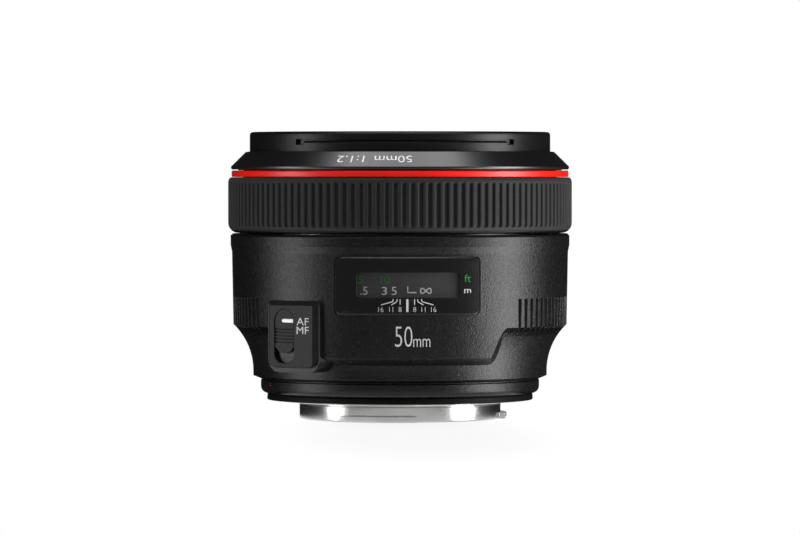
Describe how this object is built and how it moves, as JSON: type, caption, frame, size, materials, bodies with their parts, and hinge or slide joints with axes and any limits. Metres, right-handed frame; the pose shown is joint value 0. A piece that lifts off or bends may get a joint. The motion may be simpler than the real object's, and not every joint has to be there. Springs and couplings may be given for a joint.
{
  "type": "prime camera lens",
  "caption": "Autofocus prime camera lens: round barrel on a bayonet mount, ribbed focus ring, distance window, focus mode switch, sliding glass unit and bladed iris.",
  "frame": {"origin": "centre of the mount flange face, on the optical axis", "axes": "+Z along the optical axis toward the subject, -Y toward the distance window, +X to its right"},
  "size_m": [0.0858, 0.0858, 0.0714],
  "materials": {
    "mount_chrome": "polished",
    "screw_steel": "machined",
    "seal_rubber": "matt",
    "grip_rubber": "satin moulded",
    "barrel_paint": "speckled satin black paint",
    "ring_black": "satin black",
    "inner_black": "matt black anodised",
    "plastic_black": "satin",
    "red_paint": "gloss",
    "window_clear": "clear with a black printed surround",
    "scale_black": "printed",
    "optic_glass": "coated",
    "contact_gold": "gold plated",
    "board_green": "solder mask",
    "motor_metal": "machined",
    "rotor_metal": "machined",
    "felt": "felt",
    "spring_steel": "rolled",
    "cam_metal": "anodised",
    "ribbon_amber": "polyimide",
    "blade_black": "dry film black",
    "roller_white": "plain"
  },
  "bodies": {
    "barrel": {"bayonet_mount": "mount_chrome", "mount_screws": "screw_steel", "mount_seal": "seal_rubber", "rear_ring": "ring_black", "mount_index": "red_paint", "contact_block": "plastic_black", "contact_pins": "contact_gold", "rear_baffle": "plastic_black", "circuit_board": "board_green", "chassis_screws": "screw_steel", "guide_barrel": "inner_black", "main_barrel": "barrel_paint", "distance_window": "window_clear", "switch_plate": "plastic_black", "switch_board": "board_green", "wave_spring": "spring_steel", "motor_felt": "felt", "motor_stator": "motor_metal", "motor_rotor": "rotor_metal", "front_barrel": "ring_black", "name_ring": "ring_black", "red_ring": "red_paint", "ribbon_cable": "ribbon_amber"},
    "mode_switch": {"mode_switch": "plastic_black"},
    "focus_ring": {"focus_ring": "ring_black", "focus_grip": "grip_rubber"},
    "focus_drive": {"cam_ring": "cam_metal", "distance_scale": "scale_black", "roller_carrier": "rotor_metal"},
    "roller_1": {"roller_1": "roller_white"},
    "roller_2": {"roller_2": "roller_white"},
    "roller_3": {"roller_3": "roller_white"},
    "optical_unit": {"lens_barrel": "inner_black", "cam_followers": "motor_metal", "front_cell": "inner_black", "front_retainer": "inner_black", "second_retainer": "inner_black", "aperture_base": "inner_black", "rear_cell": "inner_black", "rear_spacer": "inner_black", "rear_retainer": "inner_black", "aperture_motor": "rotor_metal", "element_1": "optic_glass", "element_2": "optic_glass", "element_3": "optic_glass", "element_4": "optic_glass", "element_5": "optic_glass", "element_6": "optic_glass", "element_7": "optic_glass", "element_8": "optic_glass"},
    "aperture_ring": {"aperture_ring": "cam_metal"},
    "motor_pinion": {"motor_pinion": "contact_gold"},
    "blade_1": {"blade_1": "blade_black"},
    "blade_2": {"blade_2": "blade_black"},
    "blade_3": {"blade_3": "blade_black"},
    "blade_4": {"blade_4": "blade_black"},
    "blade_5": {"blade_5": "blade_black"},
    "blade_6": {"blade_6": "blade_black"},
    "blade_7": {"blade_7": "blade_black"},
    "blade_8": {"blade_8": "blade_black"}
  },
  "joints": [
    {"name": "focus_mode", "type": "slide", "parent": "barrel", "child": "mode_switch", "axis": [0, 0, -1], "range_m": [0, 0.0023]},
    {"name": "focus_turn", "type": "hinge", "parent": "barrel", "child": "focus_ring", "pos_m": [0, 0, 0.0476], "axis": [0, 0, 1], "range_deg": [0, 144]},
    {"name": "focus_drive_turn", "type": "hinge", "parent": "barrel", "child": "focus_drive", "pos_m": [0, 0, 0.03], "axis": [0, 0, 1], "range_deg": [0, 72]},
    {"name": "optical_slide", "type": "slide", "parent": "barrel", "child": "optical_unit", "axis": [0, 0, 1], "range_m": [0, 0.0075], "deforming": ["ribbon_cable"]},
    {"name": "roller_1_spin", "type": "hinge", "parent": "focus_drive", "child": "roller_1", "pos_m": [0.0373, 0, 0.0484], "axis": [1, 0, 0], "range_deg": [-2148.98, 0]},
    {"name": "roller_2_spin", "type": "hinge", "parent": "focus_drive", "child": "roller_2", "pos_m": [-0.01865, 0.0323, 0.0484], "axis": [-0.5, 0.866, 0], "range_deg": [-2148.98, 0]},
    {"name": "roller_3_spin", "type": "hinge", "parent": "focus_drive", "child": "roller_3", "pos_m": [-0.01865, -0.0323, 0.0484], "axis": [-0.5, -0.866, 0], "range_deg": [-2148.98, 0]},
    {"name": "aperture_turn", "type": "hinge", "parent": "optical_unit", "child": "aperture_ring", "pos_m": [0, 0, 0.0297], "axis": [0, 0, 1], "range_deg": [0, 24]},
    {"name": "blade_1_swing", "type": "hinge", "parent": "optical_unit", "child": "blade_1", "pos_m": [0.027, 0, 0.0275], "axis": [0, 0, 1], "range_deg": [0, 39.5]},
    {"name": "blade_2_swing", "type": "hinge", "parent": "optical_unit", "child": "blade_2", "pos_m": [0.01909, 0.01909, 0.0275], "axis": [0, 0, 1], "range_deg": [0, 39.5]},
    {"name": "blade_3_swing", "type": "hinge", "parent": "optical_unit", "child": "blade_3", "pos_m": [0, 0.027, 0.0275], "axis": [0, 0, 1], "range_deg": [0, 39.5]},
    {"name": "blade_4_swing", "type": "hinge", "parent": "optical_unit", "child": "blade_4", "pos_m": [-0.01909, 0.01909, 0.0275], "axis": [0, 0, 1], "range_deg": [0, 39.5]},
    {"name": "blade_5_swing", "type": "hinge", "parent": "optical_unit", "child": "blade_5", "pos_m": [-0.027, 0, 0.0275], "axis": [0, 0, 1], "range_deg": [0, 39.5]},
    {"name": "blade_6_swing", "type": "hinge", "parent": "optical_unit", "child": "blade_6", "pos_m": [-0.01909, -0.01909, 0.0275], "axis": [0, 0, 1], "range_deg": [0, 39.5]},
    {"name": "blade_7_swing", "type": "hinge", "parent": "optical_unit", "child": "blade_7", "pos_m": [0, -0.027, 0.0275], "axis": [0, 0, 1], "range_deg": [0, 39.5]},
    {"name": "blade_8_swing", "type": "hinge", "parent": "optical_unit", "child": "blade_8", "pos_m": [0.01909, -0.01909, 0.0275], "axis": [0, 0, 1], "range_deg": [0, 39.5]},
    {"name": "pinion_spin", "type": "hinge", "parent": "optical_unit", "child": "motor_pinion", "pos_m": [-0.00865, 0.02375, 0.031], "axis": [0, 0, 1], "range_deg": [0, 403.3]}
  ],
  "couplings": [
    {"joint": "focus_drive_turn", "follows": "focus_turn", "ratio": 0.5},
    {"joint": "optical_slide", "follows": "focus_turn", "m_per_rad": 0.0029842},
    {"joint": "roller_1_spin", "follows": "focus_turn", "ratio": -14.92},
    {"joint": "roller_2_spin", "follows": "focus_turn", "ratio": -14.92},
    {"joint": "roller_3_spin", "follows": "focus_turn", "ratio": -14.92},
    {"joint": "blade_1_swing", "follows": "aperture_turn", "ratio": 1.6458},
    {"joint": "blade_2_swing", "follows": "aperture_turn", "ratio": 1.6458},
    {"joint": "blade_3_swing", "follows": "aperture_turn", "ratio": 1.6458},
    {"joint": "blade_4_swing", "follows": "aperture_turn", "ratio": 1.6458},
    {"joint": "blade_5_swing", "follows": "aperture_turn", "ratio": 1.6458},
    {"joint": "blade_6_swing", "follows": "aperture_turn", "ratio": 1.6458},
    {"joint": "blade_7_swing", "follows": "aperture_turn", "ratio": 1.6458},
    {"joint": "blade_8_swing", "follows": "aperture_turn", "ratio": 1.6458},
    {"joint": "pinion_spin", "follows": "aperture_turn", "ratio": 16.8}
  ]
}
